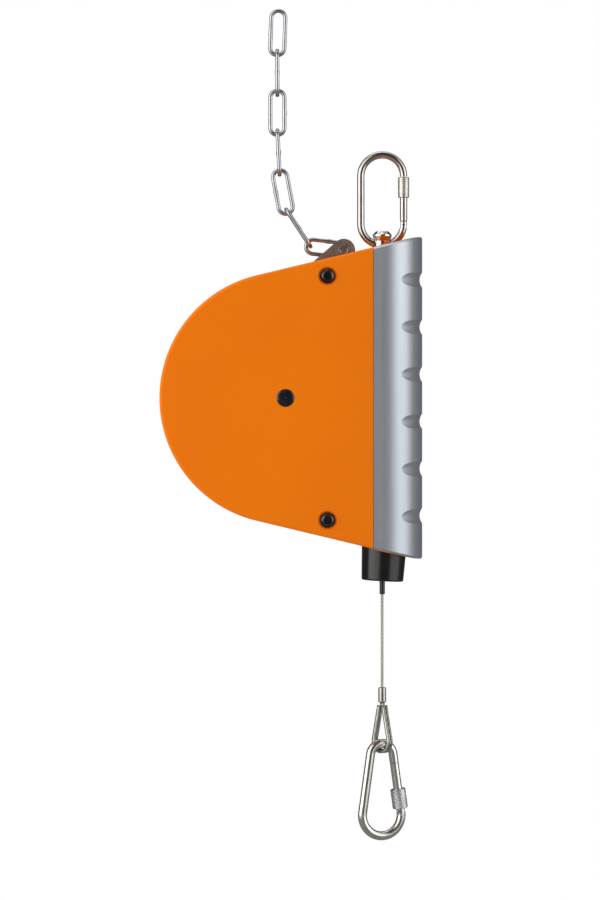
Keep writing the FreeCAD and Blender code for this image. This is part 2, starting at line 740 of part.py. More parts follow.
def end_cap(label, sign):
    """A plug in the end of the nose profile; sign is "" at the top and "-" at the bottom."""
    body = piece(label, DRUM)
    plan = sketch_on(body, "XY_Plane", ("0", "0", f"{sign}cap_inner"))
    draw(plan, nose_plan("(nose_wall + cap_gap)", cap_start))
    extrude(plan, "body_radius / 2", way=1 if sign == "" else -1)
    cut_ends(body, "cap_proud", (sign,))
    if sign == "":
        floor = f"(drum_drop - {pivot_drop} - well_depth)"
        well = sketch_on(body, "XY_Plane", ("0", "0", floor))
        circle(well, "rope_radius", "0", "2 * well_radius")
        cut(well, "body_radius", way=1)
        hole = sketch_on(body, "XY_Plane")
        circle(hole, "rope_radius", "0", "bolt_neck_width + 2 * seat_gap")
        cut(hole, "2 * body_radius", way=1)
    else:
        seat = sketch_on(body, "XY_Plane", ("0", "0", "drum_drop - nozzle_exit + nozzle_height + 0.5"))
        circle(seat, "rope_radius + 1.2", "0", "nozzle_mouth + 5.5")
        cut(seat, "body_radius", way=-1)
        hole = sketch_on(body, "XY_Plane")
        circle(hole, "rope_radius + 1.6", "0", "nozzle_neck + 2.4")
        cut(hole, "2 * body_radius", way=-1)


def swivel_block():
    """Steel block under the top cap, with two arms that reach to the upper housing screw."""
    body = piece("swivel_block", DRUM)
    top = "(cap_inner - seat_gap)"
    plan = sketch_on(body, "XY_Plane", ("0", "0", f"{top} - block_height"))
    start = f"({cap_start} + 1)"
    draw(plan, nose_plan("(nose_wall + cap_gap)", start))
    extrude(plan, "block_height")
    for sign in (1, -1):
        arm = sketch_on(body, "XZ_Plane", ("0", "0", f"{sign} * arm_inner"))
        low = f"({top} - block_height)"
        corners = [("screw_x", f"screw_rise - {screw_eye}"), (f"{start} + 4", low)]
        corners += [(f"{start} + 4", top), ("screw_x + 10", top)]
        corners += [("screw_x", f"screw_rise + {screw_eye}", "screw_x", "screw_rise", "left")]
        extrude(draw(arm, corners), "arm_thick", way=sign)
    hole = sketch_on(body, "XZ_Plane")
    circle(hole, "screw_x", "screw_rise", "screw_shank + 0.4")
    cut(hole, "body_depth", both=True)
    bore = sketch_on(body, "XY_Plane")
    circle(bore, "rope_radius", "0", "bolt_shank + 2 * running_gap + 0.1")
    cut(bore, "2 * body_radius", way=1)


screw_eye = "7"


def housing_fasteners():
    screws = piece("housing_screws", DRUM, many=True)
    seat = f"(-{half_depth} + screw_recess)"
    face = f"({seat} - screw_head_height)"
    end = f"({half_depth} - screw_recess - 0.6)"
    head = "(screw_head / 2)"
    shank = "(screw_shank / 2)"
    profile = sketch_on(screws, "XY_Plane", ("screw_x", "0", "screw_rise"))
    corners = [("0", face), ("2.9", face, "0", f"{face} + {dome_radius()}", "left")]
    corners += [(head, f"{seat} - 0.5"), (head, seat), (shank, seat), (shank, end), ("0", end)]
    body_turn = turn_round(draw(profile, corners))
    socket = sketch_on(screws, "XZ_Plane", ("0", "0", f"-({face}) - 2"))
    hexagon(socket, "screw_x", "screw_rise", "screw_hex")
    hollow = cut(socket, "4", way=1)
    mirror_down(screws, [body_turn, hollow])

    nuts = piece("housing_nuts", DRUM, many=True)
    start = f"(-{half_depth} + screw_recess + 0.1)"
    plan = sketch_on(nuts, "XZ_Plane", ("0", "0", start))
    hexagon(plan, "screw_x", "screw_rise", "nut_width")
    solid = extrude(plan, "nut_height - 0.2")
    bore = sketch_on(nuts, "XZ_Plane", ("0", "0", start))
    circle(bore, "screw_x", "screw_rise", "screw_shank + 2 * running_gap")
    hole = cut(bore, "nut_height + 1", way=1)
    mirror_down(nuts, [solid, hole])


def dome_radius():
    """Radius of a button head, whose dome runs from its flat face to its rim."""
    height = "(screw_head_height - 0.5)"
    return f"(((screw_head / 2) ^ 2 + {height} ^ 2 - 2.9 ^ 2) / (2 * {height}))"


def mirror_down(body, features):
    """Repeats features below the drum's axis."""
    mirror = body.newObject("PartDesign::Mirrored", f"{body.Name}_mirror")
    plane = next(f for f in body.Origin.OriginFeatures if f.Role == "XY_Plane")
    mirror.MirrorPlane = (plane, [""])
    mirror.Originals = features
    body.Tip = mirror


def lug():
    """Clevis for the safety chain: two plates held by the upper housing screw, and a rivet."""
    eye_x, eye_z = "lug_x", "lug_z"
    left_x = f"({eye_x} - lug_eye * sin(lug_slope))"
    left_z = f"({eye_z} + lug_eye * cos(lug_slope))"
    foot_z = f"({left_z} - ({left_x} - lug_left) * tan(lug_slope))"
    for label, way in (("lug_plate_front", 1), ("lug_plate_rear", -1)):
        body = piece(label)
        plate = sketch_on(body, "XZ_Plane", ("0", "0", f"{way} * {lug_inner}"))
        corners = [(left_x, left_z), ("lug_left", foot_z), ("lug_left", "lug_foot")]
        corners += [(f"{eye_x} + lug_eye", "lug_foot")]
        corners += [(f"{eye_x} + lug_eye", eye_z, eye_x, eye_z, "left")]
        extrude(draw(plate, corners), "lug_plate", way)
        holes = sketch_on(body, "XZ_Plane")
        circle(holes, eye_x, eye_z, "lug_pin_shank + 2 * running_gap")
        circle(holes, "screw_x - rope_radius", "screw_rise - drum_drop", "screw_shank + 0.4")
        cut(holes, "body_depth", both=True)

    pin = piece("lug_pin", (eye_x, "0", eye_z))
    face = f"({lug_outer} + lug_pin_head_height)"
    seat = f"({lug_outer} + 0.1)"
    shank = "(lug_pin_shank / 2)"
    head = "(lug_pin_head / 2)"
    profile = sketch_on(pin, "XY_Plane")
    corners = [("0", f"-{face} + 0.5"), (f"{shank} - 0.4", f"-{face} + 0.5"), (f"{head} - 1.2", f"-{face}")]
    corners += [(f"{head} - 0.5", f"-{face}"), (head, f"-{seat} - 0.4"), (head, f"-{seat}")]
    corners += [(shank, f"-{seat}"), (shank, seat), (head, seat), (head, f"{face} - 0.4")]
    corners += [(f"{head} - 0.5", face), ("0", face)]
    turn_round(draw(profile, corners))

    spacers = piece("lug_spacers", DRUM, many=True)
    gap = "(seat_gap / 3)"
    for start, length in (
        (f"-(arm_inner - {gap})", f"(arm_inner - {lug_outer} - 2 * {gap})"),
        (f"-({lug_inner} - {gap})", f"(2 * ({lug_inner} - {gap}))"),
        (f"({lug_outer} + {gap})", f"(arm_inner - {lug_outer} - 2 * {gap})"),
    ):
        ring = sketch_on(spacers, "XZ_Plane", ("0", "0", start))
        circle(ring, "screw_x", "screw_rise", "screw_shank + 4")
        circle(ring, "screw_x", "screw_rise", "screw_shank + 0.4")
        extrude(ring, length)


# ---------------------------------------------------------------- drum and spring

rope_half = "(rope_width / 2)"
zone_front = "(-rope_turns * rope_pitch - rope_pitch * 0.75)"
zone_rear = "(rope_pitch * 0.75)"
web_front = f"({zone_front} - flange_thick)"
web_rear = f"({web_front} + web_thick)"
hub_front = "(-boss_face + ring_thick + 2 * 0.25)"
cover_face = "(drum_rim + 0.1)"
axle_half = "(axle_width / 2)"
bush_half = "(bush_width / 2)"
hub_half = "(hub_width / 2)"


def drum():
    body = piece("rope_drum", DRUM)
    section = sketch_on(body, "XY_Plane")
    corners = [(bush_half, hub_front), (hub_half, hub_front), (hub_half, web_front)]
    corners += [("flange_radius", web_front), ("flange_radius", zone_front)]
    corners += [("barrel_land", zone_front), ("barrel_land", zone_rear)]
    corners += [("flange_radius", zone_rear), ("flange_radius", f"{zone_rear} + flange_thick")]
    corners += [("cup_radius", f"{zone_rear} + flange_thick"), ("cup_radius", "drum_rim")]
    corners += [("chamber_radius", "drum_rim"), ("chamber_radius", web_rear), (bush_half, web_rear)]
    turn_round(draw(section, corners))
    grooves = sketch_on(body, "XY_Plane")
    for index in range(round(value("rope_turns")) + 1):
        circle(grooves, "rope_radius", f"-{index} * rope_pitch", "rope_width + 0.2")
    turn_round(grooves, remove=True)
    drill = sketch_on(body, "XZ_Plane", ("0", "0", "-drum_rim"))
    circle(drill, "cover_screw_circle", "0", "cover_screw + 0.1")
    bore = cut(drill, "cover_screw_length + 1", way=1)
    around(body, [bore], 6)

    winding = piece("rope_winding", DRUM, many=True)
    rings = sketch_on(winding, "XY_Plane")
    for index in range(1, round(value("rope_turns")) + 1):
        circle(rings, "rope_radius", f"-{index} * rope_pitch", "rope_width")
    turn_round(rings)

    cover = piece("spring_cover", DRUM)
    section = sketch_on(cover, "XY_Plane")
    back = f"({cover_face} + cover_thick)"
    corners = [(bush_half, f"{back} - bush_length"), (hub_half, f"{back} - bush_length")]
    corners += [(hub_half, cover_face), ("cup_radius", cover_face), ("cup_radius", back)]
    corners += [(bush_half, back)]
    turn_round(draw(section, corners))
    drill = sketch_on(cover, "XZ_Plane", ("0", "0", f"-{back}"))
    circle(drill, "cover_screw_circle", "0", "cover_screw + 0.4")
    bore = cut(drill, "cover_thick + 1", way=1)
    around(cover, [bore], 6)

    screws = piece("cover_screws", DRUM, many=True)
    profile = sketch_on(screws, "XY_Plane", ("cover_screw_circle", "0", "0"))
    shank = "(cover_screw / 2)"
    tip = "(drum_rim - cover_screw_length)"
    head = f"({back} + running_gap + cover_screw_head)"
    corners = [("0", tip), (shank, tip), (shank, f"{back} + running_gap")]
    corners += [("cover_screw", f"{back} + running_gap"), ("cover_screw", f"{head} - 0.4")]
    corners += [("cover_screw - 0.5", head), ("0", head)]
    solid = turn_round(draw(profile, corners))
    around(screws, [solid], 6)

    bushes = piece("drum_bushes", DRUM, many=True)
    section = sketch_on(bushes, "XY_Plane")
    inside = f"({axle_half} + running_gap)"
    outside = f"({bush_half} - 0.05)"
    box(section, inside, f"{hub_front} + 0.1", outside, web_rear)
    box(section, inside, f"{back} - bush_length", outside, f"{back} - 0.1")
    turn_round(section)


def around(body, features, count):
    """Repeats features evenly about the drum's axis."""
    pattern = body.newObject("PartDesign::PolarPattern", f"{body.Name}_pattern")
    axis = next(f for f in body.Origin.OriginFeatures if f.Role == "Y_Axis")
    pattern.Axis = (axis, [""])
    pattern.Angle = 360
    pattern.Occurrences = count
    pattern.Originals = features
    body.Tip = pattern


def spring():
    """Flat spiral spring from the arbor to the drum's chamber wall, in half-turn arcs."""
    arbor_start = f"({web_rear} + 0.5)"
    arbor_end = f"({cover_face} + cover_thick - bush_length - 0.5)"
    arbor = piece("spring_arbor", DRUM)
    section = sketch_on(arbor, "XY_Plane")
    box(section, f"{axle_half} + 0.05", arbor_start, "arbor_width / 2", arbor_end)
    turn_round(section)
    keyway = sketch_on(arbor, "XZ_Plane")
    box(keyway, "-key_width / 2 - 0.05", "0", "key_width / 2 + 0.05", f"{axle_half} + key_width / 2 + 0.1")
    cut(keyway, "2 * body_depth", both=True)

    key = piece("arbor_key", DRUM)
    plan = sketch_on(key, "XZ_Plane", ("0", "0", f"-{arbor_end} + 1"))
    box(plan, "-key_width / 2", f"{axle_half} - key_width / 2 + 0.1", "key_width / 2", f"{axle_half} + key_width / 2")
    extrude(plan, f"{arbor_end} - {arbor_start} - 2")

    strip = piece("power_spring", DRUM)
    start = "(arbor_width / 2 + 0.4)"
    turns = round(value("strip_turns"))
    inner = []
    outer = []
    for half_turn in range(2 * turns + 1):
        side = "" if half_turn % 2 == 0 else "-"
        reach = f"({start} + {half_turn} * strip_pitch / 2)"
        back = f"({reach} + strip_pitch / 2)"
        middle = f"{side}({reach} - {back}) / 2"
        arc = (middle, "0", "left") if half_turn < 2 * turns else ()
        inner.append((f"{side}{reach}", "0") + arc)
        arc = (middle, "0", "left") if half_turn < 2 * turns else ()
        outer.append((f"{side}({reach} + strip_thick)", "0") + arc)
    plan = sketch_on(strip, "XZ_Plane", ("0", "0", f"-({web_rear} + drum_rim) / 2"))
    draw(plan, inner + reverse_plan(outer))
    extrude(plan, f"drum_rim - {web_rear} - 2 * strip_room", both=True)


def axle():
    body = piece("drum_axle", DRUM)
    end = f"({half_depth} + axle_proud)"
    profile = sketch_on(body, "XY_Plane")
    corners = [("0", f"-{end} + 0.7"), ("0.9", f"-{end} - 0.1"), (f"{axle_half} - 0.9", f"-{end} + 0.1")]
    corners += [(axle_half, f"-{end} + 0.8"), (axle_half, f"{end} - 0.8"), (f"{axle_half} - 0.9", end)]
    corners += [("0", end)]
    turn_round(draw(profile, corners))
    ring_y = "(boss_face - 0.25 - ring_thick / 2)"
    grooves = sketch_on(body, "XY_Plane")
    for sign in ("", "-"):
        middle = f"{sign}{ring_y}"
        edge = "(ring_thick / 2 + 0.05)"
        box(grooves, f"{axle_half} - 0.6", f"{middle} - {edge}", f"{axle_half} + 1", f"{middle} + {edge}")
    turn_round(grooves, remove=True)
    keyway = sketch_on(body, "XY_Plane", ("0", "0", f"{axle_half} - key_width / 2"))
    arbor_start = f"({web_rear} + 0.5)"
    arbor_end = f"({cover_face} + cover_thick - bush_length - 0.5)"
    box(keyway, "-key_width / 2 - 0.05", f"{arbor_start} + 0.9", "key_width / 2 + 0.05", f"{arbor_end} - 0.9")
    cut(keyway, "axle_width", way=1)

    rings = piece("axle_rings", DRUM, many=True)
    for sign in (1, -1):
        start = f"({sign} * {ring_y} - ring_thick / 2)"
        plan = sketch_on(rings, "XZ_Plane", ("0", "0", start))
        circle(plan, "0", "0", "ring_width")
        circle(plan, "0", "0", f"2 * {axle_half} - 1")
        extrude(plan, "ring_thick")
    gap = sketch_on(rings, "XZ_Plane")
    box(gap, "-1.5", "0", "1.5", "ring_width")
    cut(gap, "2 * body_depth", both=True)


# ---------------------------------------------------------------- rope and nozzle

exit_z = "(-nozzle_exit)"


def nozzle():
    place = ("0.1", "0", exit_z)
    body = piece("rope_nozzle", place, (0, 1, 0), "nozzle_tilt")
    mouth = "(nozzle_mouth / 2)"
    shoulder = f"({mouth} + nozzle_height * tan(nozzle_taper))"
    neck = "(nozzle_neck / 2)"
    throat = "(nozzle_throat / 2)"
    bore = "(nozzle_bore / 2)"
    nut_width = "(nozzle_neck + 8)"
    nut_seat = f"(nozzle_exit - drum_drop - cap_inner + seat_gap + {nut_width} / sqrt(3) * sin(nozzle_tilt))"
    neck_top = f"({nut_seat} + nozzle_nut_height + 1)"
    profile = sketch_on(body, "XZ_Plane")
    corners = [(bore, "0"), (f"{mouth} - 1.2", "0", f"{mouth} - 1.2", "1.2", "left"), (mouth, "1.2")]
    corners += [(shoulder, "nozzle_height"), (neck, "nozzle_height"), (neck, neck_top)]
    corners += [(throat, neck_top), (throat, "nozzle_height"), (bore, "5")]
    turn_round(draw(profile, corners))

    nut = piece("nozzle_nut", place, (0, 1, 0), "nozzle_tilt")
    plan = sketch_on(nut, "XY_Plane", ("0", "0", nut_seat))
    hexagon(plan, "0", "0", nut_width)
    extrude(plan, "nozzle_nut_height")
    hole = sketch_on(nut, "XY_Plane")
    circle(hole, "0", "0", "nozzle_neck + 0.2")
    cut(hole, "nozzle_exit", way=1)

    inside = piece("inner_rope", ("0", "0", exit_z))
    plan = sketch_on(inside, "XY_Plane")
    circle(plan, "0", "0", "rope_width")
    extrude(plan, "nozzle_exit - drum_drop")


def load_line():
    rope = piece("free_rope", ("0", "0", exit_z))
    plan = sketch_on(rope, "XY_Plane")
    circle(plan, "0", "0", "rope_width")
    extrude(plan, "ferrule_top - nozzle_exit", way=-1)

    stop = piece("rope_stop", ("0", "0", f"{exit_z} - seat_gap"))
    profile = sketch_on(stop, "XZ_Plane")
    outer = "(stop_width / 2)"
    bore = f"({rope_half} + running_gap)"
    corners = [(bore, "0"), (outer, "0"), (outer, "-stop_length + 0.6")]
    corners += [(f"{outer} - 0.5", "-stop_length"), (bore, "-stop_length")]
    turn_round(draw(profile, corners))

    ferrule = piece("ferrule", ("0", "0", "-ferrule_top"))
    profile = sketch_on(ferrule, "XZ_Plane")
    outer = "(ferrule_width / 2)"
    low = "(-ferrule_length)"
    corners = [("0", "0"), (f"{outer} - 0.8", "0", f"{outer} - 0.8", "-0.8", "right"), (outer, "-0.8")]
    corners += [(outer, f"{low} + 0.8", f"{outer} - 0.8", f"{low} + 0.8", "right")]
    corners += [(f"{outer} - 0.8", low), ("0", low)]
    turn_round(draw(profile, corners))

    place = ("0", "0", "-eye_drop")
    rise = "eye_length"
    bow = "(thimble_bow - 0.3)"
    lean = f"(asin({bow} / sqrt(rope_leg_offset ^ 2 + {rise} ^ 2)) - atan(rope_leg_offset / {rise}))"
    eye = piece("rope_eye", place, (0, 0, 1), "thimble_turn")
    top = f"({rise} - {rope_half} * sin({lean}) - 0.05)"
    path = [("rope_leg_offset", top)]
    path += [(f"{bow} * cos({lean})", f"{bow} * sin({lean})", "0", "0", "right")]
    path += [(f"-{bow} * cos({lean})", f"{bow} * sin({lean})"), ("-rope_leg_offset", top)]
    bent_wire(eye, path, "rope_width", f"-{lean}")

    thimble = piece("thimble", place, (0, 0, 1), "thimble_turn")
    bow = "thimble_bow"
    top_x = f"(({bow} - thimble_rise * sin({lean})) / cos({lean}))"
    path = [(top_x, "thimble_rise")]
    path += [(f"{bow} * cos({lean})", f"{bow} * sin({lean})", "0", "0", "right")]
    path += [(f"-{bow} * cos({lean})", f"{bow} * sin({lean})"), (f"-{top_x}", "thimble_rise")]
    spine = draw(sketch_on(thimble, "XZ_Plane"), path, closed=False)
    outer = "thimble_half"
    inner = "(thimble_half - thimble_sheet)"
    trough = sketch_on(thimble, "XY_Plane", (top_x, "0", "thimble_rise"), (0, 1, 0), f"-{lean}")
    corners = [("thimble_lip", outer), ("0", outer, "0", "0", "left"), ("0", f"-{outer}")]
    corners += [("thimble_lip", f"-{outer}"), ("thimble_lip", f"-{inner}")]
    corners += [("0", f"-{inner}", "0", "0", "right"), ("0", inner), ("thimble_lip", inner)]
    sweep(draw(trough, corners), spine)


# ---------------------------------------------------------------- snap hook

hook_lean = "asin((hook_low_bow - hook_top_bow) / hook_drop)"
hook_leg = "sqrt(hook_drop ^ 2 - (hook_low_bow - hook_top_bow) ^ 2)"
seat_z = "(-eye_drop - thimble_bow)"  # middle of the trough that the hook hangs in
seat_radius = "(hook_top_bow - hook_wire / 2 - thimble_half - hook_gap)"
hook_z = f"({seat_z} - sqrt({seat_radius} ^ 2 - hook_shift ^ 2))"
hook_x = "(-hook_shift * cos(hook_turn))"
hook_y = "(-hook_shift * sin(hook_turn))"


def on_leg(distance):
    """A point on the hook's right leg, so far down from the top bow's end."""
    x = f"(hook_top_bow * cos({hook_lean}) + ({distance}) * sin({hook_lean}))"
    z = f"(hook_top_bow * sin({hook_lean}) - ({distance}) * cos({hook_lean}))"
    return x, z


def snap_hook():
    place = (hook_x, hook_y, hook_z)
    body = piece("hook_frame", place, (0, 0, 1), "hook_turn")
    hinge_at = f"({hook_leg} + hook_hinge_drop)"
    stub = on_leg(f"{hinge_at} - hook_wire / 2 - 0.3")
    top = on_leg("0")
    low = on_leg(hook_leg)
    path = [stub, low + ("0", "-hook_drop", "right"), (f"-{low[0]}", low[1])]
    path += [(f"-{top[0]}", top[1], "0", "0", "right"), top, on_leg("hook_nose")]
    bent_wire(body, path, "hook_wire", f"-{hook_lean}")
    x, z = on_leg(hinge_at)
    knuckle(body, x, z, hook_lean, "hook_wire")

    out = f"({x} - hook_shift)"
    hinge = (f"{out} * cos(hook_turn)", f"{out} * sin(hook_turn)", f"{hook_z} + {z}")
    length = f"({hinge_at} - hook_nose - seat_gap)"
    gate_piece = gate("hook_gate", (hinge, (0, 1, 0)), "0", "hook_wire", "hook_gate", length)
    bore = "(hook_wire + 2 * nut_clearance + 0.1)"
    start = "(hook_wire / 2 + hook_nut_rest)"
    nut = sleeve("hook_sleeve", (hinge, (0, 1, 0)), "0", start, "hook_nut_length", "hook_nut_width", bore)
    for turned in (gate_piece, nut):
        x_text, y_text, z_text = (bind(c) for c in hinge)
        lean_spin = f"rotation(vector(0; 1; 0); {bind('-' + hook_lean)})"
        plane_spin = f"rotation(vector(0; 0; 1); {bind('hook_turn')})"
        base = f"vector({x_text}; {y_text}; {z_text})"
        turned.setExpression("Placement", f"placement({base}; {plane_spin} * {lean_spin})")
    pin = hinge_pin("hook_gate_pin", hinge, "hook_wire")
    plane_spin = f"rotation(vector(0; 0; 1); {bind('hook_turn')})"
    x_text, y_text, z_text = (bind(c) for c in hinge)
    pin.setExpression("Placement", f"placement(vector({x_text}; {y_text}; {z_text}); {plane_spin})")


suspension_link()
chain()
swivel()
shell("front_shell", 1)
shell("rear_shell", -1)
nose_profile()
end_cap("top_end_cap", "")
end_cap("bottom_end_cap", "-")
swivel_block()
housing_fasteners()
lug()
drum()
spring()
axle()
nozzle()
load_line()
snap_hook()
doc.recompute()

faults = [f"{o.Name} {o.State}" for o in doc.Objects if {"Invalid", "Error"} & set(o.State)]
if faults:
    raise RuntimeError("; ".join(faults))
os.makedirs("parts", exist_ok=True)
for body in pieces:
    if body.Shape.isNull() or not body.Shape.isValid() or not body.Shape.Solids:
        raise RuntimeError(f"{body.Label} has no valid solid")
for body in pieces:
    body.Shape.exportStep(f"parts/{body.Label}.step")
    print(f"{body.Label}: {len(body.Shape.Solids)} solids, {body.Shape.Volume:.0f} mm3")
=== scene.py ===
"""Spring tool balancer: materials, rope strands and knurls over the CAD frame, in metres."""
import math

import bpy
from mathutils import Matrix, Vector

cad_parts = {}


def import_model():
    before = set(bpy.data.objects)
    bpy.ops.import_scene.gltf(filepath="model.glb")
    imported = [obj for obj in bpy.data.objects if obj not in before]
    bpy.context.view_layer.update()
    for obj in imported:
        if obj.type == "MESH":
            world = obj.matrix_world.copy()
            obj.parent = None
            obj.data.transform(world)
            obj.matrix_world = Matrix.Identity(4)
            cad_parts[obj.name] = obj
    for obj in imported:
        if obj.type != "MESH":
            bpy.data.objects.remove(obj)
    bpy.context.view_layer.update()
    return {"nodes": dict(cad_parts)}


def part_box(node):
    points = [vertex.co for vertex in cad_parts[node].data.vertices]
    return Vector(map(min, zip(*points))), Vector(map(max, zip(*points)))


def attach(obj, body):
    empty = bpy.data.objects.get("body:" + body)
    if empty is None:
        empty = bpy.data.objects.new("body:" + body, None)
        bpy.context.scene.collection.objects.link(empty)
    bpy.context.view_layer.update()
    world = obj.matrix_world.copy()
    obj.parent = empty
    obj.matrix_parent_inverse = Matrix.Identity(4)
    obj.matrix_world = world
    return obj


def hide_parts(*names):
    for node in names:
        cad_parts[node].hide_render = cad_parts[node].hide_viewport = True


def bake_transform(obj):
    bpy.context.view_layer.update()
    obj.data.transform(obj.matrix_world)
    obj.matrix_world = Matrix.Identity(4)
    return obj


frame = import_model()
scene = bpy.context.scene
nodes = frame["nodes"]
MM = 0.001

# ---------------------------------------------------------------- sizes, in millimetres

ROPE_RADIUS = 1.0
ROPE_HOLD = 12 * ROPE_RADIUS  # straight run at either end of the free rope
ROPE_STEPS = 70  # points that the spline gives for each of its own
STRANDS = 6
STRAND_RADIUS = 0.36
STRAND_SIDES = 8
STRAND_LAY = 13.0  # length of one turn of a strand

EYE_LENGTH = 26.5  # from the ferrule down to the bow's centre
EYE_BOW = 6.7  # radius of the bow
EYE_LEG = 1.1  # from the rope's axis to a leg, at the ferrule
EYE_TURN = -45.0  # degrees about the rope's axis
EYE_BENDS = 8  # spline points round the bow
EYE_STEPS = 14

THIMBLE_BOW = 7.0
THIMBLE_RISE = 24.6  # from the bow's centre up to the ends
THIMBLE_HALF = 2.1  # half the trough's width
THIMBLE_SHEET = 0.6
THIMBLE_LIP = 1.0  # how far the trough's edges stand out past its middle
THIMBLE_BENDS = 14
PINCH_REACH = 7.0  # length of the pinched ends
PINCH_SHARE = 0.45  # part of the trough's depth that the pinch takes
PINCH_CURVE = 1.5

RIM = 0.75  # plain ring at either end of a screw sleeve
RIM_BEVEL = 0.5
RIM_STEP = 0.15
TOOTH_POINTS = 6  # points along one tooth of a knurl
TOOTH_FLANK = 1.6
HOOK_LEAN = 8.256  # degrees from the rope's axis to the hook's gate
HOOK_TURN = 20.0  # degrees from the photo's plane to the hook's
HOOK_SLEEVE = 13.5


def box_mm(node):
    """Lowest and highest corner of a CAD node's box, in millimetres."""
    low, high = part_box(node)
    return Vector(low) / MM, Vector(high) / MM


# ---------------------------------------------------------------- materials

RAMP = (0.3, 0.7)  # where the noise reaches the darker and the lighter shade


def noise(tree, scale, detail, stretch=(1, 1, 1)):
    """Noise in the object's own coordinates; a small stretch draws it out along that axis."""
    coordinates = tree.nodes.new("ShaderNodeTexCoord")
    mapping = tree.nodes.new("ShaderNodeMapping")
    mapping.inputs["Scale"].default_value = stretch
    made = tree.nodes.new("ShaderNodeTexNoise")
    made.inputs["Scale"].default_value = scale
    made.inputs["Detail"].default_value = detail
    tree.links.new(coordinates.outputs["Object"], mapping.inputs["Vector"])
    tree.links.new(mapping.outputs["Vector"], made.inputs["Vector"])
    return made.outputs["Fac"]


def finish(name, dark, light, mottle, rough, wear, bumps=(), metallic=1.0, specular=0.5):
    """A material whose colour, roughness and bump come from noise.

    mottle is the noise between the dark and the light shade, and wear the noise between the two
    values of rough. Each of bumps is a noise, a height in metres and a strength.
    """
    material = bpy.data.materials.new(name)
    material.use_nodes = True
    tree = material.node_tree
    shader = tree.nodes["Principled BSDF"]
    shader.inputs["Metallic"].default_value = metallic
    shader.inputs["Specular IOR Level"].default_value = specular

    ramp = tree.nodes.new("ShaderNodeValToRGB")
    for element, position, shade in zip(ramp.color_ramp.elements, RAMP, (dark, light)):
        element.position = position
        element.color = (*shade, 1.0)
    tree.links.new(noise(tree, *mottle), ramp.inputs["Fac"])
    tree.links.new(ramp.outputs["Color"], shader.inputs["Base Color"])

    spread = tree.nodes.new("ShaderNodeMapRange")
    spread.inputs["To Min"].default_value, spread.inputs["To Max"].default_value = rough
    tree.links.new(noise(tree, *wear), spread.inputs["Value"])
    tree.links.new(spread.outputs["Result"], shader.inputs["Roughness"])

    below = None
    for grain, height, strength in bumps:
        bump = tree.nodes.new("ShaderNodeBump")
        bump.inputs["Distance"].default_value = height
        bump.inputs["Strength"].default_value = strength
        tree.links.new(noise(tree, *grain), bump.inputs["Height"])
        if below:
            tree.links.new(below, bump.inputs["Normal"])
        below = bump.outputs["Normal"]
    if below:
        tree.links.new(below, shader.inputs["Normal"])
    return material


def plated(name, dark, light, rough, **rest):
    """Plated or bare steel, with the slight dullness of a rolled surface."""
    return finish(name, dark, light, (160, 2), rough, (260, 2), **rest)


MATERIALS = {
    "orange": finish(
        "orange_shell", (0.900, 0.192, 0.0), (0.945, 0.210, 0.0), (9, 3), (0.34, 0.42), (60, 4),
        bumps=[((2600, 2), 0.00003, 0.25)], metallic=0.0, specular=0.12,
    ),
    "anodised": finish(
        "anodised_aluminium", (0.50, 0.53, 0.57), (0.56, 0.59, 0.63), (30, 4, (1, 1, 0.1)),
        (0.44, 0.52), (900, 3, (1, 1, 0.02)),
        bumps=[((2500, 3), 0.00003, 0.35), ((1600, 2, (1, 1, 0.01)), 0.00003, 0.15)],
    ),
    "black": finish(
        "black_plastic", (0.003, 0.003, 0.003), (0.007, 0.006, 0.006), (200, 3),
        (0.20, 0.28), (300, 3), bumps=[((1800, 3), 0.00002, 0.3)], metallic=0.0, specular=0.6,
    ),
    "rope": finish(
        "rope_wire", (0.50, 0.47, 0.42), (0.70, 0.67, 0.61), (900, 4), (0.30, 0.42), (700, 4),
        bumps=[((5200, 2), 0.00004, 0.5)],
    ),
    "cast": finish(
        "cast_metal", (0.42, 0.42, 0.43), (0.55, 0.55, 0.56), (120, 5), (0.42, 0.58), (260, 5),
        bumps=[((1500, 5), 0.00008, 0.5)],
    ),
    "dark_steel": plated(
        "dark_steel", (0.19, 0.155, 0.135), (0.32, 0.27, 0.235), (0.34, 0.48),
        bumps=[((300, 1), 0.00002, 0.3)], metallic=0.6,
    ),
    "zinc": plated("zinc_plate", (0.40, 0.42, 0.44), (0.52, 0.54, 0.56), (0.24, 0.32)),
    "hook": plated("bright_zinc", (0.60, 0.59, 0.55), (0.72, 0.71, 0.67), (0.19, 0.26)),
    "hook_sleeve": plated("hook_sleeve_zinc", (0.54, 0.56, 0.57), (0.70, 0.72, 0.73), (0.28, 0.40)),
    "thimble": plated("pressed_zinc", (0.44, 0.46, 0.42), (0.62, 0.63, 0.58), (0.24, 0.38)),
    "ferrule": plated("pressed_ferrule", (0.40, 0.36, 0.33), (0.52, 0.48, 0.44), (0.22, 0.34)),
    "bolt": plated("bright_steel", (0.60, 0.61, 0.61), (0.70, 0.71, 0.71), (0.10, 0.16)),
    "stainless": plated("stainless_wire", (0.48, 0.44, 0.415), (0.56, 0.515, 0.485), (0.15, 0.20)),
    "link_sleeve": plated(
        "link_sleeve_steel", (0.50, 0.46, 0.42), (0.64, 0.60, 0.55), (0.30, 0.42),
    ),
    "screw": plated("black_screw", (0.045, 0.045, 0.05), (0.10, 0.10, 0.11), (0.22, 0.34)),
    "bronze": plated("bronze_bush", (0.50, 0.32, 0.13), (0.62, 0.42, 0.18), (0.28, 0.40)),
    "spring": plated("spring_steel", (0.10, 0.11, 0.14), (0.20, 0.21, 0.24), (0.24, 0.36)),
}

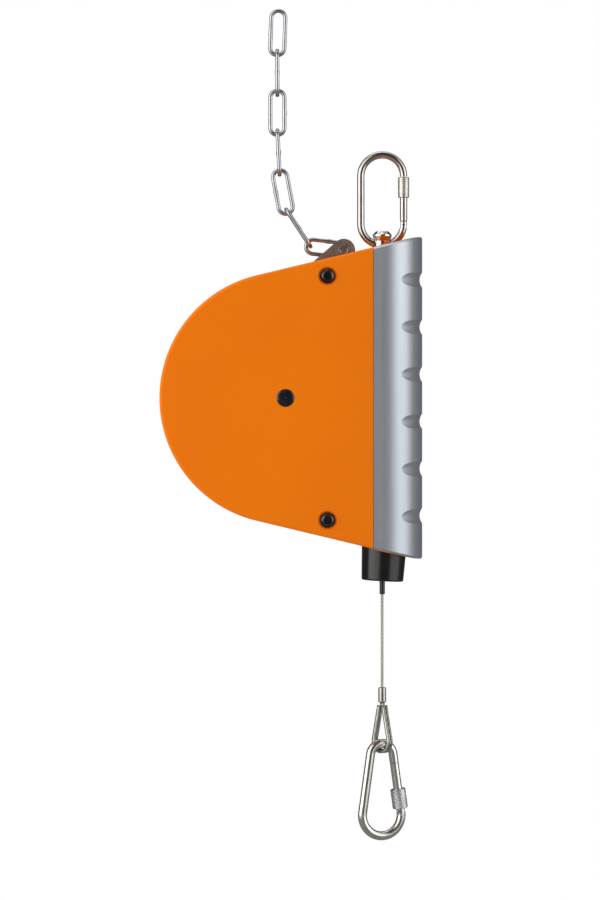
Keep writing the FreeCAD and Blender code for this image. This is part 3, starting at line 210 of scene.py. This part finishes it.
BY_NODE = {
    "orange": ["front_shell", "rear_shell", "top_end_cap", "bottom_end_cap"],
    "anodised": ["nose_profile"],
    "stainless": ["suspension_link", "link_gate", "link_gate_pin"],
    "link_sleeve": ["link_sleeve"],
    "hook": ["hook_frame", "hook_gate", "hook_gate_pin"],
    "hook_sleeve": ["hook_sleeve"],
    "thimble": ["thimble"],
    "ferrule": ["ferrule"],
    "bolt": ["swivel_bolt"],
    "screw": ["housing_screws", "drum_axle"],
    "black": ["rope_nozzle", "nozzle_nut", "rope_stop"],
    "rope": ["rope_winding", "inner_rope", "free_rope", "rope_eye"],
    "cast": ["rope_drum", "spring_cover"],
    "bronze": ["drum_bushes"],
    "spring": ["power_spring"],
    "dark_steel": [
        "swivel_block", "lug_plate_front", "lug_plate_rear", "lug_spacers", "thrust_washer",
        "swivel_nut", "nut_pin", "axle_rings", "spring_arbor", "arbor_key",
    ],
}
look_of = {name: look for look, names in BY_NODE.items() for name in names}
for name, obj in nodes.items():
    for material_slot in obj.material_slots:
        material_slot.material = MATERIALS[look_of.get(name, "zinc")]  # zinc: chain, rivet, nuts


# ---------------------------------------------------------------- meshes


def add(name, data):
    made = bpy.data.objects.new(name, data)
    scene.collection.objects.link(made)
    return made


def make_mesh(name, points, faces, material):
    mesh = bpy.data.meshes.new(name)
    mesh.from_pydata([p * MM for p in points], [], faces)
    mesh.validate()
    mesh.polygons.foreach_set("use_smooth", [True] * len(mesh.polygons))
    mesh.materials.append(material)
    mesh.update()
    return add(name, mesh)


def ring_faces(rings, around, close_ends=True):
    """Quads between rings of points, and a cap on each end."""
    faces = []
    for i in range(rings - 1):
        near = i * around
        far = near + around
        for j in range(around):
            k = (j + 1) % around
            faces.append((near + j, near + k, far + k, far + j))
    if close_ends:
        faces.append(tuple(reversed(range(around))))
        faces.append(tuple(range((rings - 1) * around, rings * around)))
    return faces


def heading(path, i):
    """Direction of the path at its point i."""
    return (path[min(i + 1, len(path) - 1)] - path[max(i - 1, 0)]).normalized()


def walk(path):
    """Each point of a path, with its tangent, two normals that don't twist, and its distance."""
    side = heading(path, 0).orthogonal().normalized()
    travelled = 0.0
    rows = []
    for i, point in enumerate(path):
        tangent = heading(path, i)
        side = (side - tangent * side.dot(tangent)).normalized()
        travelled += (point - path[max(i - 1, 0)]).length
        rows.append((point, tangent, side, tangent.cross(side), travelled))
    return rows


def stranded(name, path):
    """A wire rope: strands laid round a core, along the path."""
    points = []
    faces = []
    rows = walk(path)
    for strand in range(STRANDS + 1):
        lay = ROPE_RADIUS - STRAND_RADIUS if strand else 0.0  # the first is the core
        slope = 2 * math.pi * lay / STRAND_LAY
        start = len(points)
        for point, tangent, side, across, distance in rows:
            angle = 2 * math.pi * (strand / STRANDS + distance / STRAND_LAY)
            out = side * math.cos(angle) + across * math.sin(angle)
            along = across * math.cos(angle) - side * math.sin(angle)
            width = (tangent + along * slope).normalized().cross(out)
            for j in range(STRAND_SIDES):
                turn = 2 * math.pi * j / STRAND_SIDES
                offset = out * math.cos(turn) + width * math.sin(turn)
                points.append(point + out * lay + offset * STRAND_RADIUS)
        rings = ring_faces(len(rows), STRAND_SIDES)
        faces += [tuple(start + k for k in face) for face in rings]
    return make_mesh(name, points, faces, MATERIALS["rope"])


def route(points, resolution):
    """Points read from the smooth spline that the given points control."""
    curve = bpy.data.curves.new("route", "CURVE")
    curve.dimensions = "3D"
    curve.resolution_u = resolution
    spline = curve.splines.new("NURBS")
    spline.points.add(len(points) - 1)
    for point, place in zip(spline.points, points):
        point.co = (*place, 1.0)
    spline.order_u = 3
    spline.use_endpoint_u = True
    holder = bpy.data.objects.new("route", curve)
    line = bpy.data.meshes.new_from_object(holder)
    found = [vertex.co.copy() for vertex in line.vertices]
    bpy.data.meshes.remove(line)
    bpy.data.objects.remove(holder)
    bpy.data.curves.remove(curve)
    return found


def free_rope(on_rope):
    lowest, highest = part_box("free_rope")
    top = Vector((0, 0, highest[2] / MM))
    low = Vector((0, 0, lowest[2] / MM))
    hold = Vector((0, 0, ROPE_HOLD))
    path = route([top, top - hold, low + hold, low], ROPE_STEPS)
    rope = stranded("rope_strands", path)
    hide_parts("free_rope")
    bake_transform(rope)


# A leg's lean from the rope's axis, so that it runs from its end onto the bow as a tangent.
EYE_LEAN = math.asin(EYE_BOW / math.hypot(EYE_LEG, EYE_LENGTH)) - math.atan(EYE_LEG / EYE_LENGTH)
EYE_PLANE = Matrix.Rotation(math.radians(EYE_TURN), 4, "Z")


def eye_route(bow, leg, rise):
    """A loop of two legs that lean out from the ferrule to a round bow."""
    centre = Vector((0, 0, box_mm("ferrule")[0].z - EYE_LENGTH))
    step = (math.pi + 2 * EYE_LEAN) / EYE_BENDS
    ahead = bow * math.tan(step / 2)
    wide = bow / math.cos(step / 2)
    low = bow * math.sin(EYE_LEAN) + ahead * math.cos(EYE_LEAN)
    out = bow * math.cos(EYE_LEAN) - ahead * math.sin(EYE_LEAN)
    points = [Vector((leg, 0, rise)), Vector((out, 0, low))]
    for i in range(EYE_BENDS):
        angle = EYE_LEAN - step * (i + 0.5)
        points.append(Vector((wide * math.cos(angle), 0, wide * math.sin(angle))))
    points += [Vector((-out, 0, low)), Vector((-leg, 0, rise))]
    return route([centre + EYE_PLANE @ point for point in points], EYE_STEPS)


def rope_eye():
    eye = stranded("rope_eye_strands", eye_route(EYE_BOW, EYE_LEG, EYE_LENGTH))
    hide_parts("rope_eye")
    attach(eye, "load_line")


def half_round(radius, start, way):
    """Points of half a circle, from start half turns, one way round or the other."""
    points = []
    for i in range(THIMBLE_BENDS + 1):
        angle = math.pi * (start + way * i / THIMBLE_BENDS)
        points.append((radius * math.cos(angle), radius * math.sin(angle)))
    return points


def thimble():
    """A pressed trough round the inside of the eye; its ends pinch together under the ferrule."""
    leg = (THIMBLE_BOW - THIMBLE_RISE * math.sin(EYE_LEAN)) / math.cos(EYE_LEAN)
    path = eye_route(THIMBLE_BOW, leg, THIMBLE_RISE)
    inner = THIMBLE_HALF - THIMBLE_SHEET
    section = [(THIMBLE_LIP, THIMBLE_HALF)]
    section += half_round(THIMBLE_HALF, 0.5, 1)
    section += [(THIMBLE_LIP, -THIMBLE_HALF), (THIMBLE_LIP, -inner)]
    section += half_round(inner, 1.5, -1)
    section.append((THIMBLE_LIP, inner))
    flat = EYE_PLANE @ Vector((0, 1, 0))
    top = max(point.z for point in path)
    points = []
    for i, point in enumerate(path):
        outward = heading(path, i).cross(flat)
        near_end = max(0.0, 1 - (top - point.z) / PINCH_REACH)
        squeeze = 1 - PINCH_SHARE * near_end ** PINCH_CURVE
        for out, across in section:
            depth = out * squeeze if out < 0 else out
            points.append(point + outward * depth + flat * across)
    faces = ring_faces(len(path), len(section))
    trough = make_mesh("thimble_trough", points, faces, MATERIALS["thimble"])
    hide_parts("thimble")
    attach(trough, "load_line")
    return trough


def knurled(sleeve, low, high, width, bore, pitch, depth):
    """A screw sleeve with a diamond knurl between two plain, bevelled rims."""
    axis = (high - low).normalized()
    length = (high - low).length
    side = axis.orthogonal().normalized()
    across = axis.cross(side)
    outer = width / 2
    inner = bore / 2
    around = round(math.pi * width / pitch) * TOOTH_POINTS
    cut = length - 2 * RIM
    steps = round(cut / (pitch / TOOTH_POINTS))
    rings = [(inner, 0.0), (outer - RIM_BEVEL, 0.0), (outer, RIM_BEVEL), (outer, RIM - RIM_STEP)]
    rings += [(None, RIM + cut * i / steps) for i in range(steps + 1)]
    rings += [(outer, length - RIM + RIM_STEP), (outer, length - RIM_BEVEL)]
    rings += [(outer - RIM_BEVEL, length), (inner, length)]
    points = []
    for radius, height in rings:
        for j in range(around):
            here = radius
            if here is None:
                first = (j / TOOTH_POINTS + height / pitch) % 1
                second = (j / TOOTH_POINTS - height / pitch) % 1
                crest = min(abs(first - 0.5), abs(second - 0.5)) * 2
                here = outer - depth * (1 - min(1.0, TOOTH_FLANK * crest))
            turn = 2 * math.pi * j / around
            out = side * math.cos(turn) + across * math.sin(turn)
            points.append(low + axis * height + out * here)
    faces = ring_faces(len(rings), around, close_ends=False)
    last = (len(rings) - 1) * around
    for j in range(around):
        k = (j + 1) % around
        faces.append((last + j, last + k, k, j))
    made = make_mesh(f"{sleeve}_knurl", points, faces, MATERIALS[sleeve])
    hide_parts(sleeve)
    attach(made, sleeve)


def sleeves():
    low, high = box_mm("link_sleeve")
    middle = (low + high) / 2
    start = Vector((middle.x, middle.y, low.z))
    end = Vector((middle.x, middle.y, high.z))
    knurled(
        "link_sleeve", start, end, width=7.6, bore=5.2, pitch=0.85, depth=0.09,
    )
    low, high = box_mm("hook_sleeve")
    middle = (low + high) / 2
    lean = math.radians(HOOK_LEAN)
    turn = math.radians(HOOK_TURN)
    aside = -math.sin(lean)
    axis = Vector((aside * math.cos(turn), aside * math.sin(turn), math.cos(lean)))
    half = axis * HOOK_SLEEVE / 2
    knurled(
        "hook_sleeve", middle - half, middle + half,
        width=10.4, bore=6.45, pitch=0.95, depth=0.17,
    )


free_rope(thimble())
rope_eye()
sleeves()


# ---------------------------------------------------------------- stage and lights, in metres

FLOOR = -2.7  # the hook reaches 2.5 m down when the rope is out
FLOOR_REACH = 9.0
WORLD_LEVEL = 0.47  # of the world's light on the object; it is 1 where it is seen
LIT_CENTRE = Vector((-0.06, 0.0, -0.18))


def add_material(name):
    material = bpy.data.materials.new(name)
    material.use_nodes = True
    return material


def seen_directly(tree):
    """1 for rays from the camera, off gloss and through glass, and 0 for all other light."""
    path = tree.nodes.new("ShaderNodeLightPath")
    seen = path.outputs["Is Camera Ray"]
    for rays in ("Is Glossy Ray", "Is Transmission Ray"):
        either = tree.nodes.new("ShaderNodeMath")
        either.operation = "MAXIMUM"
        tree.links.new(seen, either.inputs[0])
        tree.links.new(path.outputs[rays], either.inputs[1])
        seen = either.outputs[0]
    return seen


def white_stage():
    """A material that is white where it is seen, and matt white to other light."""
    material = add_material("stage_white")
    tree = material.node_tree
    tree.nodes.clear()
    matt = tree.nodes.new("ShaderNodeBsdfDiffuse")
    matt.inputs["Color"].default_value = (0.9, 0.9, 0.9, 1)
    glow = tree.nodes.new("ShaderNodeEmission")
    glow.inputs["Strength"].default_value = 1.0
    mix = tree.nodes.new("ShaderNodeMixShader")
    out = tree.nodes.new("ShaderNodeOutputMaterial")
    tree.links.new(seen_directly(tree), mix.inputs["Fac"])
    tree.links.new(matt.outputs[0], mix.inputs[1])
    tree.links.new(glow.outputs[0], mix.inputs[2])
    tree.links.new(mix.outputs[0], out.inputs["Surface"])
    return material


def level(x0, x1, y0, y1, z):
    """Corners of a level sheet."""
    return [(x0, y0, z), (x1, y0, z), (x1, y1, z), (x0, y1, z)]


def upright(start, end, low, high):
    """Corners of an upright sheet over the line from start to end."""
    return [(*start, low), (*end, low), (*end, high), (*start, high)]


def sheet_at(name, corners, material):
    mesh = bpy.data.meshes.new(name)
    mesh.from_pydata(corners, [], [(0, 1, 2, 3)])
    mesh.materials.append(material)
    made = add(name, mesh)
    return made


def card(name, corners, grey):
    """A dull card that only reflections show."""
    material = add_material(name)
    shader = material.node_tree.nodes["Principled BSDF"]
    shader.inputs["Base Color"].default_value = (grey, grey, grey, 1)
    shader.inputs["Roughness"].default_value = 1.0
    shader.inputs["Specular IOR Level"].default_value = 0.0
    made = sheet_at(name, corners, material)
    made.visible_camera = False
    made.visible_diffuse = False
    made.visible_shadow = False
    made.visible_transmission = False


def cards():
    """A box of cards round the object, open at the sides in front, where the soft boxes stand."""
    west, east = -1.9, 1.9
    far_west, far_east = -4, 4
    front, side, back = -4.4, -0.1, 0.8
    low, high = -0.61, 1.7
    front_high = 3.5
    ceiling, ceiling_back = 1.75, -0.2
    card("card_behind", upright((west, back), (east, back), low, high), 0.12)
    card("card_front", upright((far_west, front), (far_east, front), low, front_high), 0.12)
    card("card_right", upright((east, side), (east, back), low, high), 0.34)
    card("card_left", upright((west, side), (west, back), low, high), 0.12)
    card("card_below", level(far_west, far_east, front, back, low), 0.28)
    card("card_above", level(far_west, far_east, front, ceiling_back, ceiling), 0.14)


def lamp(name, offset, size, power, colour=(1, 1, 1)):
    """A rectangular soft light, placed from the lit centre and aimed at it."""
    data = bpy.data.lights.new(name, "AREA")
    data.shape = "RECTANGLE"
    data.size, data.size_y = size
    data.energy = power
    data.color = colour
    place = LIT_CENTRE + Vector(offset)
    made = add(name, data)
    made.location = place
    made.rotation_euler = (LIT_CENTRE - place).to_track_quat("-Z", "Y").to_euler()
    made.visible_camera = False
    return made


def lights():
    """A broad soft box on the left, one for gloss on the right, and a lamp above and behind."""
    lamp("key_left", (-1.12, -0.90, 0.25), (1.9, 2.4), 22.6, (1.0, 0.985, 0.965))
    strip = lamp("strip_right", (1.22, -0.60, 0.05), (1.35, 2.4), 12.5, (0.97, 0.985, 1.0))
    strip.visible_diffuse = False
    lamp("top", (-0.2, 0.35, 1.5), (1.4, 0.8), 4.5)
    behind = lamp("behind", (0.7, 1.7, 0.7), (1.6, 1.6), 16)
    behind.visible_glossy = False


def world():
    """White where it is seen, and weaker as light on the object."""
    made = bpy.data.worlds.new("studio")
    scene.world = made
    made.use_nodes = True
    tree = made.node_tree
    background = tree.nodes["Background"]
    background.inputs["Color"].default_value = (1, 1, 1, 1)
    strength = tree.nodes.new("ShaderNodeMapRange")
    strength.inputs["To Min"].default_value = WORLD_LEVEL
    strength.inputs["To Max"].default_value = 1.0
    tree.links.new(seen_directly(tree), strength.inputs["Value"])
    tree.links.new(strength.outputs["Result"], background.inputs["Strength"])


# ---------------------------------------------------------------- camera

PIXEL = 0.68 * MM  # of the photo, at the object
PHOTO_WIDTH = 600
PHOTO_HEIGHT = 900
ORIGIN_X = 382.2  # where the frame's origin is in the photo, in pixels
ORIGIN_Y = 158.6
HORIZON_Y = 385.0
CAMERA_DISTANCE = 3.5
SENSOR = 24.0  # height in millimetres


def camera():
    """Straight on, at the height of the body's middle, with the frame shifted to the photo's."""
    height = PHOTO_HEIGHT * PIXEL
    centre_x = (PHOTO_WIDTH / 2 - ORIGIN_X) * PIXEL
    centre_z = (ORIGIN_Y - PHOTO_HEIGHT / 2) * PIXEL
    eye_height = (ORIGIN_Y - HORIZON_Y) * PIXEL
    data = bpy.data.cameras.new("camera")
    data.sensor_fit = "VERTICAL"
    data.sensor_height = SENSOR
    data.lens = SENSOR * CAMERA_DISTANCE / height
    data.shift_y = (centre_z - eye_height) / height
    data.clip_start = 0.05
    data.clip_end = 30
    made = add("camera", data)
    made.location = (centre_x, -CAMERA_DISTANCE, eye_height)
    made.rotation_euler = (math.radians(90), 0, 0)
    scene.camera = made


floor_corners = level(-FLOOR_REACH, FLOOR_REACH, -FLOOR_REACH, FLOOR_REACH, FLOOR)
sheet_at("floor", floor_corners, white_stage())
lights()
cards()
world()
camera()
scene.view_settings.view_transform = "Standard"
